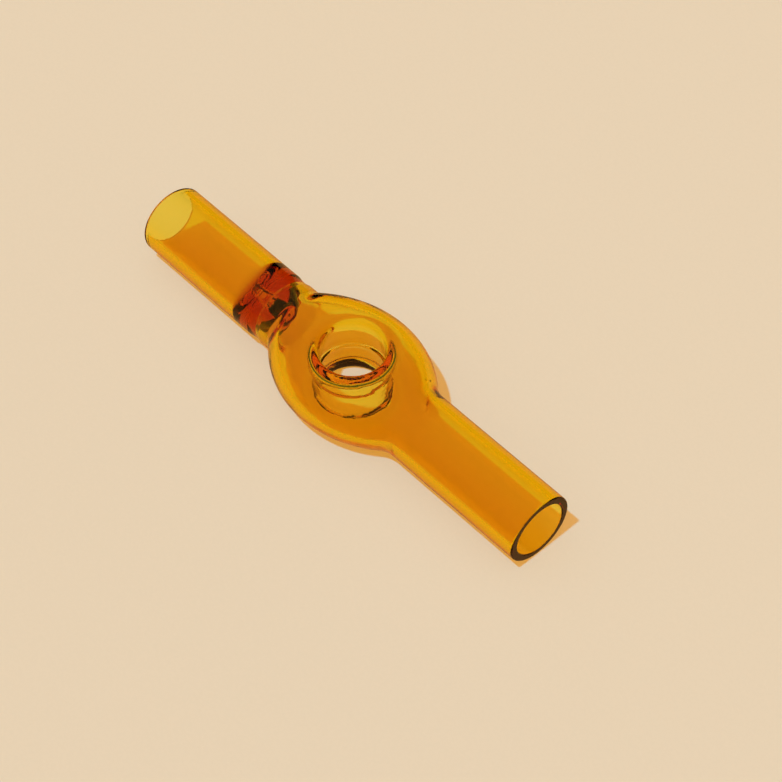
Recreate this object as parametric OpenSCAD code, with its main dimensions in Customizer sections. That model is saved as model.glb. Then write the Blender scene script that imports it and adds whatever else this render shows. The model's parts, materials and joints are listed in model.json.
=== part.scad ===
// Straight glass hand pipe with a pierced ring chamber, blown from one stock of amber tubing.
// Units are millimetres. The origin is the centre of the ring's hole, on the pipe's axis.
// +X runs along the pipe towards the mouthpiece, and +Z runs up through the hole.

/* [Tubing] */
// Outer diameter of the stock tube
tube_d = 25; // [24:0.5:27]
// Wall thickness of the tube and of the blown chamber
glass_wall = 2.8; // [2:0.1:3.2]
// Length from the hole's centre to the rim of the bowl end
bowl_reach = 92.5; // [85:0.5:110]
// Length from the hole's centre to the rim of the mouthpiece end
mouth_reach = 87; // [70:0.5:110]
// Corner radius of the fire-polished bowl rim
bowl_rim_r = 1.2; // [0.8:0.1:1.3]
// Corner radius of the ground mouthpiece rim
mouth_rim_r = 0.6; // [0.3:0.1:0.9]

/* [Bowl bottom] */
// Distance from the hole's centre to the bowl side of the thick glass
plug_outer_x = 47; // [46:0.5:50]
// Distance from the hole's centre to the chamber side of the thick glass
plug_inner_x = 35.5; // [34.5:0.5:37]
// Depth of the dish that the bowl drains into
dish_depth = 4; // [3.5:0.1:4.5]
// Radius of the throat through the thick glass
throat_r = 1.5; // [1:0.1:2]
// Radius of the dome that stands in the neck
dome_r = 8.4; // [7:0.1:8.8]
// Height of the dome
dome_height = 5; // [4:0.1:5.5]
// Radius of the throat's flare where it leaves the dome
flare_r = 3.2; // [2.5:0.1:4]
// Depth of the pinched waist where the neck is joined
waist_depth = 0.4; // [0.2:0.05:0.6]
// Half of the length of the waist
waist_half = 3; // [2:0.1:4]

/* [Ring chamber] */
// Half of the width of the chamber's flat top, at the hole
flat_half_y = 11.6; // [10.5:0.1:12.5]
// Radius of the flat top's long sides
flat_side_r = 26.3; // [24:0.1:29]
// Radius of the shoulder towards the bowl, measured to the flat top's edge
bowl_shoulder_r = 15; // [14:0.5:18]
// Radius of the shoulder towards the mouthpiece, measured to the flat top's edge
mouth_shoulder_r = 22; // [18:0.5:26]

/* [Ring hole] */
// Radius of the hole through the ring
hole_r = 11.25; // [10.75:0.05:12]
// Wall thickness of the hole's tunnel, thinner than the tube because it was drawn out
tunnel_wall = 1.5; // [1.2:0.1:2]
// Distance that the tunnel's rolled lip stays below the chamber's top
lip_drop = 0.1; // [0:0.05:0.3]

/* [Hidden] */
$fn = 96;

tube_r = tube_d / 2;
bore_r = tube_r - glass_wall;
tunnel_r = hole_r + tunnel_wall;
tunnel_top = tube_r - lip_drop;
waist_r = (waist_half * waist_half + waist_depth * waist_depth) / (2 * waist_depth);
dish_r = ((bore_r * bore_r) + dish_depth * dish_depth) / (2 * dish_depth);
dome_ball_r = (dome_r * dome_r + dome_height * dome_height) / (2 * dome_height);

// The chamber's plan outline: a long side arc about a centre across the axis, which runs at each
// end into a shoulder arc that is tangent to the tube.
flat_side_y = flat_side_r - flat_half_y;
function shoulder_x(r) =
    sqrt((flat_side_r + r) * (flat_side_r + r) - (flat_side_y + r) * (flat_side_y + r));
function shoulder_angle(r) = atan2(flat_side_y + r, shoulder_x(r));

bowl_neck_x = shoulder_x(bowl_shoulder_r);
mouth_neck_x = shoulder_x(mouth_shoulder_r);
bowl_angle = shoulder_angle(bowl_shoulder_r);
mouth_angle = shoulder_angle(mouth_shoulder_r);
side_steps = 16;
shoulder_steps = 5;
edge_steps = 16;
flat_min = 0.02;
overlap = 1;
amber = [0.85, 0.48, 0.03, 0.75];
deep_amber = [0.70, 0.22, 0.02, 0.85];

// Turns a half section, drawn with X along the pipe and Y as the radius, about the pipe's axis.
module turn() {
    rotate([0, 90, 0])
        rotate_extrude()
            rotate([0, 0, 90])
                children();
}

// A length of tube wall between two places along the pipe.
module wall_section(x0, x1) {
    translate([x0, bore_r])
        square([x1 - x0, glass_wall]);
}

// The end of a tube wall, from x = 0 to the rim at x = length, with both corners rounded.
module rim_section(length, corner_r) {
    translate([0, bore_r])
        square([length - corner_r, glass_wall]);
    translate([0, bore_r + corner_r])
        square([length, glass_wall - 2 * corner_r]);
    for (r = [bore_r + corner_r, tube_r - corner_r])
        translate([length - corner_r, r])
            circle(corner_r);
}

// The shallow groove pinched round the outside where the neck is joined.
module waist_groove() {
    translate([-plug_inner_x, tube_r - waist_depth + waist_r])
        circle(waist_r);
}

// Points along an arc, from angle a0 to angle a1.
function arc_points(centre, r, a0, a1, steps) = [
    for (i = [0 : steps])
        let (a = a0 + (a1 - a0) * i / steps)
            centre + r * [cos(a), sin(a)]
];

// The outline's +Y side from the bowl's neck to the mouthpiece, for a tube of radius edge_r.
function chamber_outline(edge_r) = concat(
    arc_points([-bowl_neck_x, bowl_shoulder_r], bowl_shoulder_r - edge_r,
        -90, -bowl_angle, shoulder_steps),
    [for (i = [1 : side_steps - 1])
        arc_points([0, -flat_side_y], flat_side_r + edge_r,
            180 - bowl_angle, mouth_angle, side_steps)[i]],
    arc_points([mouth_neck_x, mouth_shoulder_r], mouth_shoulder_r - edge_r,
        180 + mouth_angle, 270, shoulder_steps)
);

// One cross-section of the chamber: two half circles, apart by the flat's width.
function chamber_ring(station, edge_r) =
    let (flat = max(station.y - edge_r, flat_min))
        concat(
            [for (i = [0 : edge_steps])
                let (a = -90 + 180 * i / edge_steps)
                    [station.x, flat + edge_r * cos(a), edge_r * sin(a)]],
            [for (i = [0 : edge_steps])
                let (a = 90 + 180 * i / edge_steps)
                    [station.x, -flat + edge_r * cos(a), edge_r * sin(a)]]
        );

// The whole chamber as a solid lofted through its cross-sections, for a tube of radius edge_r.
module chamber_body(edge_r) {
    stations = chamber_outline(edge_r);
    count = len(stations);
    around = 2 * edge_steps + 2;
    points = [for (station = stations) each chamber_ring(station, edge_r)];
    sides = [
        for (i = [0 : count - 2], j = [0 : around - 1])
            let (k = (j + 1) % around, a = i * around, b = a + around)
                each [[a + j, b + j, b + k], [a + j, b + k, a + k]]
    ];
    near_end = [for (j = [0 : around - 1]) j];
    far_end = [for (j = [around - 1 : -1 : 0]) (count - 1) * around + j];
    polyhedron(points, concat([near_end, far_end], sides), convexity = 6);
}

// Open tube that packs the bowl, with a thin fire-polished rim.
module bowl_tube() {
    color(amber)
        translate([-plug_outer_x, 0, 0])
            mirror([1, 0, 0])
                turn()
                    rim_section(bowl_reach - plug_outer_x, bowl_rim_r);
}

// Thick bowl bottom: a dish with a throat, which swells into a dome on the chamber side.
module bowl_plug() {
    color(deep_amber)
        turn()
            difference() {
                union() {
                    translate([-plug_outer_x, 0])
                        square([plug_outer_x - plug_inner_x, tube_r]);
                    intersection() {
                        translate([-plug_inner_x + dome_height - dome_ball_r, 0])
                            circle(dome_ball_r);
                        translate([-plug_inner_x, 0])
                            square([dome_height, dome_r]);
                    }
                }
                translate([-plug_outer_x + dish_depth - dish_r, 0])
                    circle(dish_r);
                polygon([
                    [-plug_outer_x, -overlap],
                    [-plug_outer_x, throat_r],
                    [-plug_outer_x + dish_depth + overlap, throat_r],
                    [-plug_inner_x + dome_height + overlap, flare_r],
                    [-plug_inner_x + dome_height + overlap, -overlap]
                ]);
                waist_groove();
            }
}

// Short neck between the bowl bottom and the chamber, pinched where it is joined.
module neck_tube() {
    color(amber)
        turn()
            difference() {
                wall_section(-plug_inner_x, -bowl_neck_x);
                waist_groove();
            }
}

// Hollow oval chamber, blown flat on top and below, and open at both ends and round the hole.
module ring_chamber() {
    color(amber)
        difference() {
            chamber_body(tube_r);
            chamber_body(bore_r);
            rotate([0, 90, 0])
                translate([0, 0, -bowl_neck_x - overlap])
                    cylinder(h = 2 * overlap, r = bore_r);
            rotate([0, 90, 0])
                translate([0, 0, mouth_neck_x - overlap])
                    cylinder(h = 2 * overlap, r = bore_r);
            cylinder(h = 2 * tube_d, r = tunnel_r, center = true);
        }
}

// Wall of the hole that pierces the chamber, with a rolled lip at each end.
module ring_tunnel() {
    color(amber)
        rotate_extrude()
            difference() {
                translate([hole_r, -tunnel_top])
                    square([tunnel_wall, 2 * tunnel_top]);
                for (end = [0, 1])
                    mirror([0, end])
                        difference() {
                            translate([hole_r - overlap, tunnel_top - tunnel_wall])
                                square([tunnel_wall + overlap, tunnel_wall + overlap]);
                            translate([tunnel_r, tunnel_top - tunnel_wall])
                                circle(tunnel_wall);
                        }
            }
}

// Long tube that is drawn from, with a thick rim ground flat.
module mouthpiece_tube() {
    color(amber)
        translate([mouth_neck_x, 0, 0])
            turn()
                rim_section(mouth_reach - mouth_neck_x, mouth_rim_r);
}

bowl_tube();
bowl_plug();
neck_tube();
ring_chamber();
ring_tunnel();
mouthpiece_tube();
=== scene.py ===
"""Amber glass pipe with a pierced ring chamber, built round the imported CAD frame."""

import json
import math

import bmesh
import bpy
import numpy as np
from mathutils import Matrix, Vector


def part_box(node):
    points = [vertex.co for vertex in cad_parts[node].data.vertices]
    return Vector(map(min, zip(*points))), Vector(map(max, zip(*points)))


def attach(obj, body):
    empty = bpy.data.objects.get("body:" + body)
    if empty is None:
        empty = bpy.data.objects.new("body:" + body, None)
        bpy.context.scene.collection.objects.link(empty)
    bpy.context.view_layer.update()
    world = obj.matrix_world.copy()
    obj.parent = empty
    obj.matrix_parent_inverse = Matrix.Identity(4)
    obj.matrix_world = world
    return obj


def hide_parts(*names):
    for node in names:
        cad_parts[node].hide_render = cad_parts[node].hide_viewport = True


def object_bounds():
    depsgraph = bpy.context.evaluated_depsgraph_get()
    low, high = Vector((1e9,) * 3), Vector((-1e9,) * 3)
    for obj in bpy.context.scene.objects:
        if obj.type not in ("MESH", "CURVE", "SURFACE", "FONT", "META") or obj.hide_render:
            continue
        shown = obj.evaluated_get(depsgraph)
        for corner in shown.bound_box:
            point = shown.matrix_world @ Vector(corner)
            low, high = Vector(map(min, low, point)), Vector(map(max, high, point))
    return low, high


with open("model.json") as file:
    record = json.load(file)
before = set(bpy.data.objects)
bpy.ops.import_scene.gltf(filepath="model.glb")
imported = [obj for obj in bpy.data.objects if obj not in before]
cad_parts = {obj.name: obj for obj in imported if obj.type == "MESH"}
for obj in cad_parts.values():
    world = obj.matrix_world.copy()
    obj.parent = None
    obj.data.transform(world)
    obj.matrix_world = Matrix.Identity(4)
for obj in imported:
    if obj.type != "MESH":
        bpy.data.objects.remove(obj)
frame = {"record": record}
cad_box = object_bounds()

# Shapes are worked out in millimetres and written to the meshes in metres.
MM = 0.001

# ---------------------------------------------------------------- sizes from the frame


def mount(name):
    """The dimensions of one of the record's mounts, in millimetres."""
    return next(m["dims"] for m in frame["record"]["mounts"] if m["name"] == name)


def along(node, end):
    """Lowest (end 0) or highest (end 1) place of a CAD node along the pipe, in millimetres."""
    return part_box(node)[end][0] / MM


TUBE_R = mount("mouthpiece_sleeve")["r_mm"]
BORE_R = mount("mouthpiece_bore")["r_mm"]
HOLE_R = mount("ring_hole")["r_mm"]
TUNNEL_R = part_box("ring_tunnel")[1][1] / MM
BOWL_RIM_X = along("bowl_tube", 0)
PLUG_X = along("bowl_plug", 0)
DOME_TIP_X = along("bowl_plug", 1)
WAIST_X = along("neck_tube", 0)
BOWL_NECK_X = along("ring_chamber", 0)
MOUTH_NECK_X = along("ring_chamber", 1)
MOUTH_RIM_X = along("mouthpiece_tube", 1)
CHAMBER_HALF_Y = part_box("ring_chamber")[1][1] / MM
FLOOR_Z = cad_box[0][2] / MM

# ---------------------------------------------------------------- sizes the frame doesn't state

# These are the CAD design's own values.
SIDE_R = 26.3          # radius of the chamber's flat top on its long sides
BOWL_SHOULDER_R = 15.0
MOUTH_SHOULDER_R = 22.0
BOWL_RIM_R = 1.2       # rounding of the rims' corners
MOUTH_RIM_R = 0.6
WAIST_DEPTH = 0.4
WAIST_HALF = 3.0       # half of the waist's length
DISH_DEPTH = 4.0
THROAT_R = 1.5
FLARE_R = 3.2
DOME_R = 8.4

# These are details that only the visible model has.
LIP_BLEND = 2.0        # how far the rolled lips of the hole spread
CAVITY_BLEND = 4.0     # the same for the inner corner between the chamber and the hole's wall
PINCH = 0.6            # height of the ridge where the hole's two halves were fused
PINCH_SPREAD = 1.1     # how far the ridge spreads up and down the hole
LIP_SEAM_R = 17.0      # where the tunnel's flange ends in the chamber's top and bottom
SEAM_GAP = 0.02        # air between two pieces where their glass runs on

# ---------------------------------------------------------------- fineness and tolerances of the meshes

TURN_STEPS = 192           # steps round a turned piece, the seam cutter and the floor
BOWL_RIM_STEPS = 10
MOUTH_RIM_STEPS = 8
WAIST_STEPS = 8
DISH_STEPS = 16            # of the dish and of the dome
GRID = 0.75                # cell size of the chamber's first mesh
GRID_OFFSET = 0.37         # shift of the grid, in cells, that keeps its planes off the middle planes
EASE_ROUNDS = 12
EASE_SHARE = 0.5           # share of the way to its neighbours that a point moves in one round
SETTLE_ROUNDS = 6
SLOPE_STEP = 0.01          # distance over which the field's gradient is taken
LEAST_SLOPE_SQUARED = 0.05       # keeps a point from jumping where the field is nearly flat
SEAM_TOLERANCE = 0.004           # distance within which a point lies on a flat seam
ROUND_SEAM_TOLERANCE = 0.016     # the same for the round seam, whose facets lie a little inside it
SEAM_TURN = 0.8                  # a seam's face turns from the glass's own normal to below this cosine

# ---------------------------------------------------------------- turned pieces


def line_run(x0, r0, x1, r1, seam=False):
    """A straight stretch of a turned outline, with its normal to the left of its direction."""
    length = math.hypot(x1 - x0, r1 - r0)
    normal = (-(r1 - r0) / length, (x1 - x0) / length)
    return {"points": [(x0, r0), (x1, r1)], "normals": [normal, normal], "seam": seam}


def arc_run(x, r, radius, a0, a1, steps):
    """A round stretch of a turned outline. A turn to the right faces away from its centre."""
    angles = [math.radians(a0 + (a1 - a0) * i / steps) for i in range(steps + 1)]
    side = 1 if a1 < a0 else -1
    return {
        "points": [(x + radius * math.cos(a), r + radius * math.sin(a)) for a in angles],
        "normals": [(side * math.cos(a), side * math.sin(a)) for a in angles],
        "seam": False,
    }


def turned(runs):
    """Turns a closed outline about the pipe's axis: points, faces, corner normals and seams."""
    profile = [p for run in runs for p in run["points"][:-1]]
    count = len(profile)
    angles = np.arange(TURN_STEPS) * 2 * math.pi / TURN_STEPS
    wheel = np.stack([np.zeros(TURN_STEPS), np.cos(angles), np.sin(angles)], axis=1)
    points = np.concatenate([wheel * r + (x, 0, 0) for x, r in profile])
    faces, normals, seams = [], [], []
    start = 0
    for run in runs:
        for i in range(len(run["points"]) - 1):
            low, high = start + i, (start + i + 1) % count
            spokes = [wheel * nr + (nx, 0, 0) for nx, nr in run["normals"][i:i + 2]]
            for k in range(TURN_STEPS):
                n = (k + 1) % TURN_STEPS
                faces.append([low * TURN_STEPS + k, low * TURN_STEPS + n,
                              high * TURN_STEPS + n, high * TURN_STEPS + k])
                normals += [spokes[0][k], spokes[0][n], spokes[1][n], spokes[1][k]]
                seams.append(run["seam"])
        start += len(run["points"]) - 1
    return points, faces, np.array(normals), seams


# ---------------------------------------------------------------- the ring chamber as an implicit solid

SIDE_Y = SIDE_R - (CHAMBER_HALF_Y - TUBE_R)


def outline(x, edge):
    """Half of the chamber's width in plan at x, for a body whose edge has this radius."""
    width = np.full_like(x, edge)
    ends = ((BOWL_SHOULDER_R, -BOWL_NECK_X, -1), (MOUTH_SHOULDER_R, MOUTH_NECK_X, 1))
    for shoulder, neck_x, side in ends:
        meet_x = neck_x * (SIDE_R + edge) / (SIDE_R + shoulder)
        reach = x * side
        bend = (reach >= meet_x) & (reach < neck_x)
        root = np.sqrt(np.maximum((shoulder - edge) ** 2 - (reach - neck_x) ** 2, 0))
        width = np.where(bend, shoulder - root, width)
        arc = (reach >= 0) & (reach < meet_x)
        bow = np.sqrt(np.maximum((SIDE_R + edge) ** 2 - x ** 2, 0)) - SIDE_Y
        width = np.where(arc, bow, width)
    return width


def rounded_max(a, b, blend):
    """The larger of two fields, with the edge where they meet rounded."""
    near = np.maximum(blend - np.abs(a - b), 0)
    return np.maximum(a, b) + near * near / (4 * blend)


def pill(p, edge):
    """Field of the tube and chamber together: below zero inside, for a body of this edge radius."""
    x, y, z = p
    flat = outline(x, edge) - edge
    return np.sqrt(np.maximum(np.abs(y) - flat, 0) ** 2 + z ** 2) - edge


def hole_radius(z):
    """Radius of the hole at a height, with the fused ridge half-way."""
    return HOLE_R - PINCH * np.exp(-(z / PINCH_SPREAD) ** 2)


def ring_field(p):
    """Field of the chamber's glass: below zero in the glass."""
    x, y, z = p
    out = np.sqrt(x ** 2 + y ** 2)
    skin = rounded_max(pill(p, TUBE_R), hole_radius(z) - out, LIP_BLEND)
    cavity = rounded_max(pill(p, BORE_R), TUNNEL_R - out, CAVITY_BLEND)
    return np.maximum(skin, -cavity)


def slope(p):
    """Gradient of the glass field at points given as rows."""
    parts = []
    for axis in range(3):
        shift = np.zeros(3)
        shift[axis] = SLOPE_STEP
        parts.append(ring_field((p + shift).T) - ring_field((p - shift).T))
    return np.stack(parts, axis=1) / (2 * SLOPE_STEP)


def settle(points, rounds=SETTLE_ROUNDS):
    """Moves points on to the glass surface."""
    for _ in range(rounds):
        g = slope(points)
        value = ring_field(points.T)
        steep = np.maximum((g * g).sum(axis=1), LEAST_SLOPE_SQUARED)
        points = points - g * (value / steep)[:, None]
    return points


def net(field, low, high, cell):
    """Surface net of a field's zero level: points and four-sided faces, normals facing outward."""
    counts = [int(math.ceil((b - a) / cell)) + 1 for a, b in zip(low, high)]
    axes = [a + cell * (np.arange(n) + GRID_OFFSET) for a, n in zip(low, counts)]
    value = field(np.meshgrid(*axes, indexing="ij"))
    total = np.zeros([n - 1 for n in counts] + [3])
    hits = np.zeros([n - 1 for n in counts])
    spans = []
    for axis in range(3):
        first = [slice(None)] * 3
        second = [slice(None)] * 3
        first[axis] = slice(0, -1)
        second[axis] = slice(1, None)
        a, b = value[tuple(first)], value[tuple(second)]
        crossed = (a < 0) != (b < 0)
        share = np.where(crossed, a / np.where(crossed, a - b, 1), 0)
        spans.append((crossed, a < 0))
        others = [i for i in range(3) if i != axis]
        for du in (0, 1):
            for dv in (0, 1):
                part = [slice(None)] * 3
                part[others[0]] = slice(du, du + counts[others[0]] - 1)
                part[others[1]] = slice(dv, dv + counts[others[1]] - 1)
                c, s = crossed[tuple(part)], share[tuple(part)]
                offset = np.zeros(list(c.shape) + [3])
                offset[..., axis] = s
                offset[..., others[0]] = du
                offset[..., others[1]] = dv
                total += offset * c[..., None]
                hits += c
    used = hits > 0
    index = np.full(used.shape, -1)
    index[used] = np.arange(used.sum())
    cells = np.argwhere(used)
    corner = np.stack([axes[i][cells[:, i]] for i in range(3)], axis=1)
    points = corner + cell * total[used] / hits[used][:, None]
    faces = []
    for axis in range(3):
        crossed, inside = spans[axis]
        u, v = [i for i in range(3) if i != axis]
        keep = np.argwhere(crossed)
        keep = keep[(keep[:, u] > 0) & (keep[:, v] > 0)
                    & (keep[:, u] < counts[u] - 1) & (keep[:, v] < counts[v] - 1)]
        around = []
        for du, dv in ((-1, -1), (0, -1), (0, 0), (-1, 0)):
            place = keep.copy()
            place[:, u] += du
            place[:, v] += dv
            around.append(index[place[:, 0], place[:, 1], place[:, 2]])
        quad = np.stack(around, axis=1)
        flip = inside[keep[:, 0], keep[:, 1], keep[:, 2]] == (axis == 1)
        quad[flip] = quad[flip][:, ::-1]
        faces.append(quad)
    return points, np.concatenate(faces)


def eased(points, faces):
    """Evens out a net along its surface, then puts it back on the surface."""
    ends = np.concatenate([faces[:, [i, (i + 1) % 4]] for i in range(4)])
    for _ in range(EASE_ROUNDS):
        total = np.zeros_like(points)
        count = np.zeros(len(points))
        for a, b in ((0, 1), (1, 0)):
            np.add.at(total, ends[:, a], points[ends[:, b]])
            np.add.at(count, ends[:, a], 1)
        shift = EASE_SHARE * (total / count[:, None] - points)
        g = slope(points)
        g /= np.linalg.norm(g, axis=1)[:, None]
        shift -= g * (shift * g).sum(axis=1)[:, None]
        points = settle(points + shift, 1)
    return settle(points)


# ---------------------------------------------------------------- from arrays to pieces


def build_mesh(name, points, faces):
    """A mesh from points in millimetres."""
    mesh = bpy.data.meshes.new(name)
    places = [tuple(p) for p in np.asarray(points) * MM]
    mesh.from_pydata(places, [], [list(map(int, f)) for f in faces])
    return mesh


def finish_piece(name, mesh, corner_normals, seams, material, node):
    """Adds the normals and the seam marks, and puts the piece in the scene for its CAD node."""
    mesh.polygons.foreach_set("use_smooth", [True] * len(mesh.polygons))
    mesh.normals_split_custom_set([tuple(n) for n in corner_normals])
    marks = mesh.attributes.new("seam", "FLOAT", "FACE")
    marks.data.foreach_set("value", [float(s) for s in seams])
    mesh.materials.append(material)
    piece = bpy.data.objects.new(name, mesh)
    bpy.context.collection.objects.link(piece)
    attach(piece, "root")
    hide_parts(node)


def turned_piece(name, runs, material, node):
    """A piece of glass turned from its outline."""
    points, faces, normals, seams = turned(runs)
    finish_piece(name, build_mesh(name, points, faces), normals, seams, material, node)


def trim_end(bm, x, side):
    """Cuts a body off at x, keeps what lies on the low (-1) or high (1) side, and closes the cut."""
    everything = bm.verts[:] + bm.edges[:] + bm.faces[:]
    bmesh.ops.bisect_plane(bm, geom=everything, plane_co=(x, 0, 0), plane_no=(1, 0, 0),
                           clear_outer=side < 0, clear_inner=side > 0)
    near = SEAM_TOLERANCE * MM
    rim = [e for e in bm.edges if e.is_boundary and all(abs(v.co.x - x) < near for v in e.verts)]
    bmesh.ops.triangle_fill(bm, edges=rim, use_beauty=True, normal=(-side, 0, 0))


def upright_cylinder(radius, height):
    """A closed cylinder about the hole's axis, given in millimetres."""
    mesh = bpy.data.meshes.new("seam_cutter")
    bm = bmesh.new()
    bmesh.ops.create_cone(bm, cap_ends=True, segments=TURN_STEPS,
                          radius1=radius * MM, radius2=radius * MM, depth=height * MM)
    bm.to_mesh(mesh)
    bm.free()
    return mesh


def cut_by_cylinder(body, radius, operation):
    """The part of a body outside (DIFFERENCE) or inside (INTERSECT) an upright cylinder."""
    cutter = bpy.data.objects.new("seam_cutter", upright_cylinder(radius, 4 * TUBE_R))
    bpy.context.collection.objects.link(cutter)
    cut = body.modifiers.new("cut", "BOOLEAN")
    cut.operation = operation
    cut.solver = "EXACT"
    cut.object = cutter
    bpy.context.view_layer.update()
    depsgraph = bpy.context.evaluated_depsgraph_get()
    mesh = bpy.data.meshes.new_from_object(body.evaluated_get(depsgraph))
    body.modifiers.clear()
    bpy.data.objects.remove(cutter, do_unlink=True)
    return mesh


def field_piece(name, mesh, seam_radius, material, node):
    """Finishes a piece of the chamber: its normals come from the field, apart from its seams."""
    points = np.array([v.co for v in mesh.vertices]) / MM
    smooth = slope(points)
    smooth /= np.linalg.norm(smooth, axis=1)[:, None]
    out = np.hypot(points[:, 0], points[:, 1])
    on_seam = [np.abs(out - seam_radius) < ROUND_SEAM_TOLERANCE]
    for x in (BOWL_NECK_X + SEAM_GAP / 2, MOUTH_NECK_X - SEAM_GAP / 2):
        on_seam.append(np.abs(points[:, 0] - x) < SEAM_TOLERANCE)
    normals, seams = [], []
    for face in mesh.polygons:
        corners = list(face.vertices)
        seam = any(marked[corners].all() for marked in on_seam)
        seam = seam and abs(np.dot(smooth[corners].mean(axis=0), face.normal)) < SEAM_TURN
        seams.append(seam)
        normals += [tuple(face.normal)] * len(corners) if seam else list(smooth[corners])
    finish_piece(name, mesh, normals, seams, material, node)


def ring_pieces(chamber_material, tunnel_material):
    """The chamber and the wall of its hole, cut from one smooth body."""
    margin = 3 * GRID
    low = (BOWL_NECK_X - margin, -CHAMBER_HALF_Y - margin, -TUBE_R - margin)
    high = (MOUTH_NECK_X + margin, CHAMBER_HALF_Y + margin, TUBE_R + margin)
    points, faces = net(ring_field, low, high, GRID)
    points = eased(points, faces)
    mesh = build_mesh("ring_body", points, faces)
    bm = bmesh.new()
    bm.from_mesh(mesh)
    trim_end(bm, (MOUTH_NECK_X - SEAM_GAP / 2) * MM, -1)
    trim_end(bm, (BOWL_NECK_X + SEAM_GAP / 2) * MM, 1)
    bm.to_mesh(mesh)
    bm.free()
    body = bpy.data.objects.new("ring_body", mesh)
    bpy.context.collection.objects.link(body)
    shell = cut_by_cylinder(body, LIP_SEAM_R, "DIFFERENCE")
    tunnel = cut_by_cylinder(body, LIP_SEAM_R - SEAM_GAP, "INTERSECT")
    bpy.data.objects.remove(body, do_unlink=True)
    field_piece("ring_chamber_glass", shell, LIP_SEAM_R, chamber_material, "ring_chamber")
    field_piece("ring_tunnel_glass", tunnel, LIP_SEAM_R - SEAM_GAP, tunnel_material, "ring_tunnel")


# ---------------------------------------------------------------- the tubes and the bowl bottom


def bowl_tube_runs():
    """Outline of the open bowl tube, from its rim along the outside and back through the bore."""
    rim_x, seam_x = BOWL_RIM_X + BOWL_RIM_R, PLUG_X - SEAM_GAP / 2
    return [
        arc_run(rim_x, TUBE_R - BOWL_RIM_R, BOWL_RIM_R, 180, 90, BOWL_RIM_STEPS),
        line_run(rim_x, TUBE_R, seam_x, TUBE_R),
        line_run(seam_x, TUBE_R, seam_x, BORE_R, seam=True),
        line_run(seam_x, BORE_R, rim_x, BORE_R),
        arc_run(rim_x, BORE_R + BOWL_RIM_R, BOWL_RIM_R, 270, 180, BOWL_RIM_STEPS),
        line_run(BOWL_RIM_X, BORE_R + BOWL_RIM_R, BOWL_RIM_X, TUBE_R - BOWL_RIM_R),
    ]


WAIST_R = (WAIST_HALF ** 2 + WAIST_DEPTH ** 2) / (2 * WAIST_DEPTH)
WAIST_ANGLE = math.degrees(math.asin(WAIST_HALF / WAIST_R))


def waist_run(a0, a1):
    """Part of the shallow groove round the waist, by its angles from the groove's bottom."""
    centre_r = TUBE_R - WAIST_DEPTH + WAIST_R
    return arc_run(WAIST_X, centre_r, WAIST_R, a0 - 90, a1 - 90, WAIST_STEPS)


def bowl_plug_runs():
    """Outline of the thick bowl bottom: the outside, the dome, the throat and the dish."""
    left = PLUG_X + SEAM_GAP / 2
    dome_height = DOME_TIP_X - WAIST_X
    ball_r = (DOME_R ** 2 + dome_height ** 2) / (2 * dome_height)
    ball_x = DOME_TIP_X - ball_r
    dome = math.asin(DOME_R / ball_r)
    flare = math.asin(FLARE_R / ball_r)
    dish_r = (BORE_R ** 2 + DISH_DEPTH ** 2) / (2 * DISH_DEPTH)
    dish_x = PLUG_X + DISH_DEPTH - dish_r
    brim = math.asin(BORE_R / dish_r)
    throat = math.asin(THROAT_R / dish_r)
    flare_x = ball_x + ball_r * math.cos(flare)
    throat_x = dish_x + dish_r * math.cos(throat)
    return [
        line_run(left, TUBE_R, WAIST_X - WAIST_HALF, TUBE_R),
        waist_run(-WAIST_ANGLE, 0),
        line_run(WAIST_X, TUBE_R - WAIST_DEPTH, WAIST_X, BORE_R, seam=True),
        line_run(WAIST_X, BORE_R, WAIST_X, DOME_R),
        arc_run(ball_x, 0, ball_r, math.degrees(dome), math.degrees(flare), DISH_STEPS),
        line_run(flare_x, FLARE_R, throat_x, THROAT_R),
        arc_run(dish_x, 0, dish_r, math.degrees(throat), math.degrees(brim), DISH_STEPS),
        line_run(left - SEAM_GAP / 2, BORE_R, left, BORE_R),
        line_run(left, BORE_R, left, TUBE_R, seam=True),
    ]


def neck_tube_runs():
    """Outline of the short neck, which starts with its half of the waist."""
    left, right = WAIST_X + SEAM_GAP, BOWL_NECK_X - SEAM_GAP / 2
    return [
        waist_run(0, WAIST_ANGLE),
        line_run(WAIST_X + WAIST_HALF, TUBE_R, right, TUBE_R),
        line_run(right, TUBE_R, right, BORE_R, seam=True),
        line_run(right, BORE_R, left, BORE_R),
        line_run(left, BORE_R, left, TUBE_R - WAIST_DEPTH, seam=True),
    ]


def mouthpiece_runs():
    """Outline of the long tube, whose rim has a ground face between two small roundings."""
    left, rim_x = MOUTH_NECK_X + SEAM_GAP / 2, MOUTH_RIM_X - MOUTH_RIM_R
    return [
        line_run(left, TUBE_R, rim_x, TUBE_R),
        arc_run(rim_x, TUBE_R - MOUTH_RIM_R, MOUTH_RIM_R, 90, 0, MOUTH_RIM_STEPS),
        line_run(MOUTH_RIM_X, TUBE_R - MOUTH_RIM_R, MOUTH_RIM_X, BORE_R + MOUTH_RIM_R),
        arc_run(rim_x, BORE_R + MOUTH_RIM_R, MOUTH_RIM_R, 0, -90, MOUTH_RIM_STEPS),
        line_run(rim_x, BORE_R, left, BORE_R),
        line_run(left, BORE_R, left, TUBE_R, seam=True),
    ]


# ---------------------------------------------------------------- materials

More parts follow.
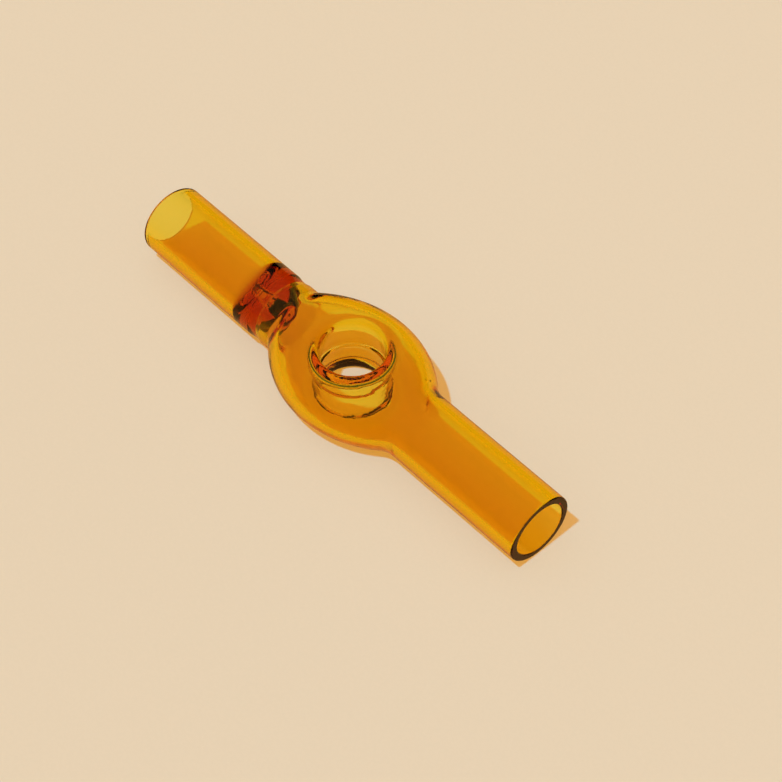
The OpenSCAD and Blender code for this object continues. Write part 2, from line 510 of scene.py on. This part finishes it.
GLASS_IOR = 1.47
GLASS_SHINE = 0.12                 # specular level, which is low, to give the photo's even amber
GLASS_SHINE_TINT = (1, 0.6, 0.2, 1)
AMBER_TINT = (0.999, 0.905, 0.04, 1)
DEEP_AMBER_TINT = (0.972, 0.855, 0.04, 1)
TINT_DENSITY = 800
DRAWN_OUT_DENSITY = 550            # of the hole's wall
DRAWING_SCALE = (6, 420, 420)      # the drawing lines are long in X, along the pipe
DRAWING_DETAIL = 2
WAVE_SCALE = 75
WAVE_DISTORTION = 1.2
BLOWN_WAVES = 2.5                  # height of the waves in the blown glass, in drawing lines
BUMP_STRENGTH = 0.05
BUMP_DISTANCE = 0.001


def glass_material(name, tint, density, waves=0):
    """Clear glass coloured by its depth, with faint drawing lines and, where it was blown, waves."""
    material = bpy.data.materials.new(name)
    material.use_nodes = True
    nodes, links = material.node_tree.nodes, material.node_tree.links
    shader = nodes["Principled BSDF"]
    shader.inputs["Base Color"].default_value = (1, 1, 1, 1)
    shader.inputs["Transmission Weight"].default_value = 1
    shader.inputs["Roughness"].default_value = 0
    shader.inputs["IOR"].default_value = GLASS_IOR
    shader.inputs["Specular IOR Level"].default_value = GLASS_SHINE
    shader.inputs["Specular Tint"].default_value = GLASS_SHINE_TINT
    seam = nodes.new("ShaderNodeAttribute")
    seam.attribute_name = "seam"
    index = nodes.new("ShaderNodeMapRange")
    index.inputs["To Min"].default_value = GLASS_IOR
    index.inputs["To Max"].default_value = 1
    links.new(seam.outputs["Fac"], index.inputs["Value"])
    links.new(index.outputs["Result"], shader.inputs["IOR"])
    place = nodes.new("ShaderNodeTexCoord")
    stretch = nodes.new("ShaderNodeMapping")
    stretch.inputs["Scale"].default_value = DRAWING_SCALE
    lines = nodes.new("ShaderNodeTexNoise")
    lines.inputs["Scale"].default_value = 1
    lines.inputs["Detail"].default_value = DRAWING_DETAIL
    swirl = nodes.new("ShaderNodeTexNoise")
    swirl.inputs["Scale"].default_value = WAVE_SCALE
    swirl.inputs["Detail"].default_value = 0
    swirl.inputs["Distortion"].default_value = WAVE_DISTORTION
    height = nodes.new("ShaderNodeMath")
    height.operation = "MULTIPLY_ADD"
    height.inputs[1].default_value = waves
    bump = nodes.new("ShaderNodeBump")
    bump.inputs["Strength"].default_value = BUMP_STRENGTH
    bump.inputs["Distance"].default_value = BUMP_DISTANCE
    links.new(place.outputs["Object"], stretch.inputs["Vector"])
    links.new(stretch.outputs["Vector"], lines.inputs["Vector"])
    links.new(place.outputs["Object"], swirl.inputs["Vector"])
    links.new(swirl.outputs["Fac"], height.inputs[0])
    links.new(lines.outputs["Fac"], height.inputs[2])
    links.new(height.outputs["Value"], bump.inputs["Height"])
    links.new(bump.outputs["Normal"], shader.inputs["Normal"])
    depth = nodes.new("ShaderNodeVolumeAbsorption")
    depth.inputs["Color"].default_value = tint
    depth.inputs["Density"].default_value = density
    links.new(depth.outputs["Volume"], nodes["Material Output"].inputs["Volume"])
    return material


PAPER_SHADES = ((0.71, 0.571, 0.402, 1), (0.74, 0.594, 0.420, 1))
PAPER_ROUGHNESS = 0.9
PAPER_SHINE = 0.2
PAPER_GRAIN = 900
PAPER_DETAIL = 4


def paper_material():
    """Pale matt paper with a faint grain."""
    material = bpy.data.materials.new("paper")
    material.use_nodes = True
    nodes, links = material.node_tree.nodes, material.node_tree.links
    shader = nodes["Principled BSDF"]
    shader.inputs["Roughness"].default_value = PAPER_ROUGHNESS
    shader.inputs["Specular IOR Level"].default_value = PAPER_SHINE
    place = nodes.new("ShaderNodeTexCoord")
    grain = nodes.new("ShaderNodeTexNoise")
    grain.inputs["Scale"].default_value = PAPER_GRAIN
    grain.inputs["Detail"].default_value = PAPER_DETAIL
    tint = nodes.new("ShaderNodeMix")
    tint.data_type = "RGBA"
    tint.inputs["A"].default_value = PAPER_SHADES[0]
    tint.inputs["B"].default_value = PAPER_SHADES[1]
    links.new(place.outputs["Object"], grain.inputs["Vector"])
    links.new(grain.outputs["Fac"], tint.inputs["Factor"])
    links.new(tint.outputs["Result"], shader.inputs["Base Color"])
    return material


# ---------------------------------------------------------------- camera, floor and light

VIEW_TURN = math.radians(47.2)
VIEW_RISE = math.radians(51.4)
VIEW_DISTANCE = 0.875              # metres
VIEW_OFFSET = (0.01255, -0.0065)   # where the camera's axis passes the hole's centre, right and up
VIEW_CLIP = (0.01, 20)
SENSOR_MM = 36
LENS_MM = 123


def view_axes():
    """The camera's right, up and back directions."""
    turn, rise = VIEW_TURN, VIEW_RISE
    right = Vector((math.cos(turn), math.sin(turn), 0))
    back = Vector((math.sin(turn) * math.cos(rise), -math.cos(turn) * math.cos(rise), math.sin(rise)))
    return right, back.cross(right), back


def add_camera():
    """The photo's camera, which looks down from the mouthpiece's end, on the -Y side."""
    right, up, back = view_axes()
    camera = bpy.data.cameras.new("camera")
    camera.sensor_width = SENSOR_MM
    camera.lens = LENS_MM
    camera.clip_start, camera.clip_end = VIEW_CLIP
    holder = bpy.data.objects.new("camera", camera)
    place = back * VIEW_DISTANCE + right * VIEW_OFFSET[0] + up * VIEW_OFFSET[1]
    holder.matrix_world = Matrix.Translation(place) @ Matrix((right, up, back)).transposed().to_4x4()
    bpy.context.collection.objects.link(holder)
    bpy.context.scene.camera = holder


FLOOR_R = 2.2          # metres
BACKDROP_R = 0.8       # metres
BACKDROP_STEPS = 12


def add_floor():
    """A round sheet of paper that curves up into a low backdrop all round."""
    spokes = TURN_STEPS
    z = (FLOOR_Z - SEAM_GAP) * MM
    points = []
    for i in range(BACKDROP_STEPS + 1):
        rise = math.pi / 2 * i / BACKDROP_STEPS
        out, up = FLOOR_R + BACKDROP_R * math.sin(rise), z + BACKDROP_R * (1 - math.cos(rise))
        for k in range(spokes):
            a = 2 * math.pi * k / spokes
            points.append((out * math.cos(a), out * math.sin(a), up))
    faces = [list(range(spokes))]
    for i in range(BACKDROP_STEPS):
        for k in range(spokes):
            low, n = i * spokes, (k + 1) % spokes
            faces.append([low + k, low + spokes + k, low + spokes + n, low + n])
    mesh = bpy.data.meshes.new("floor")
    mesh.from_pydata(points, [], faces)
    mesh.polygons.foreach_set("use_smooth", [False] + [True] * (len(faces) - 1))
    mesh.materials.append(paper_material())
    floor = bpy.data.objects.new("floor", mesh)
    bpy.context.collection.objects.link(floor)
    floor.visible_glossy = False
    return floor


LIGHT_SHIFT = (0.0, 0.41)            # how far a shadow falls along X and Y for each unit of height
SUN_POWER = 2.8
SUN_SPREAD = 2.0                     # degrees
THROUGH_GLASS = (0.93, 0.50, 0.05)   # share of the lamp's light that the glass lets on to the surface
SKY_GLOW = 0.38                      # brightness of the sky round the lamp, fading away from it
SKY_EDGE = -0.15                     # cosine of the angle from the lamp at which the glow ends
BELOW_SKY = (0.6, 0.3, 0.1, 1)
HORIZON_FADE = -0.05                 # height at which the sky has become its lower half


def add_lamp(name, colour, blockers=None):
    """A soft distant lamp that glass doesn't mirror. Only the blockers, if given, cast its shadow."""
    sun = bpy.data.lights.new(name, "SUN")
    sun.energy = SUN_POWER
    sun.angle = math.radians(SUN_SPREAD)
    sun.color = colour
    lamp = bpy.data.objects.new(name, sun)
    down = Vector((LIGHT_SHIFT[0], LIGHT_SHIFT[1], -1))
    lamp.rotation_euler = down.to_track_quat("-Z", "Y").to_euler()
    lamp.visible_glossy = False
    lamp.visible_transmission = False
    bpy.context.collection.objects.link(lamp)
    if blockers:
        group = bpy.data.collections.new(name + "_blockers")
        for blocker in blockers:
            group.objects.link(blocker)
        lamp.light_linking.blocker_collection = group


def add_sky():
    """A sky that glows round the lamp, over a warm lower half that only reflections see."""
    world = bpy.data.worlds.new("studio")
    world.use_nodes = True
    nodes, links = world.node_tree.nodes, world.node_tree.links
    place = nodes.new("ShaderNodeTexCoord")
    toward = nodes.new("ShaderNodeVectorMath")
    toward.operation = "DOT_PRODUCT"
    toward.inputs[1].default_value = Vector((-LIGHT_SHIFT[0], -LIGHT_SHIFT[1], 1)).normalized()
    glow = nodes.new("ShaderNodeMapRange")
    glow.interpolation_type = "SMOOTHSTEP"
    glow.inputs["From Min"].default_value = SKY_EDGE
    glow.inputs["To Max"].default_value = SKY_GLOW
    sky = nodes["Background"]
    sky.inputs["Color"].default_value = (1, 1, 1, 1)
    height = nodes.new("ShaderNodeSeparateXYZ")
    depth = nodes.new("ShaderNodeMapRange")
    depth.inputs["From Max"].default_value = HORIZON_FADE
    below = nodes.new("ShaderNodeBackground")
    below.inputs["Color"].default_value = BELOW_SKY
    both = nodes.new("ShaderNodeMixShader")
    links.new(place.outputs["Generated"], toward.inputs[0])
    links.new(toward.outputs["Value"], glow.inputs["Value"])
    links.new(glow.outputs["Result"], sky.inputs["Strength"])
    links.new(place.outputs["Generated"], height.inputs[0])
    links.new(height.outputs["Z"], depth.inputs["Value"])
    links.new(depth.outputs["Result"], both.inputs["Fac"])
    links.new(sky.outputs["Background"], both.inputs[1])
    links.new(below.outputs["Background"], both.inputs[2])
    links.new(both.outputs["Shader"], nodes["World Output"].inputs["Surface"])
    bpy.context.scene.world = world


def add_light(floor):
    """One white lamp in two parts: the glass blocks one and lets the other, amber one through."""
    add_lamp("key", [1 - share for share in THROUGH_GLASS])
    add_lamp("key_through_glass", THROUGH_GLASS, [floor])
    add_sky()


LIGHT_BOUNCES = 40

scene = bpy.context.scene
scene.view_settings.view_transform = "Standard"
scene.cycles.max_bounces = LIGHT_BOUNCES
scene.cycles.transmission_bounces = LIGHT_BOUNCES
scene.cycles.transparent_max_bounces = LIGHT_BOUNCES

add_camera()
amber = glass_material("clear_amber", AMBER_TINT, TINT_DENSITY)
deep_amber = glass_material("thick_amber", DEEP_AMBER_TINT, TINT_DENSITY)
blown_amber = glass_material("blown_amber", AMBER_TINT, TINT_DENSITY, BLOWN_WAVES)
thin_amber = glass_material("thin_amber", AMBER_TINT, DRAWN_OUT_DENSITY, BLOWN_WAVES)
turned_piece("bowl_tube_glass", bowl_tube_runs(), amber, "bowl_tube")
turned_piece("bowl_plug_glass", bowl_plug_runs(), deep_amber, "bowl_plug")
turned_piece("neck_tube_glass", neck_tube_runs(), deep_amber, "neck_tube")
ring_pieces(blown_amber, thin_amber)
turned_piece("mouthpiece_tube_glass", mouthpiece_runs(), amber, "mouthpiece_tube")
add_light(add_floor())
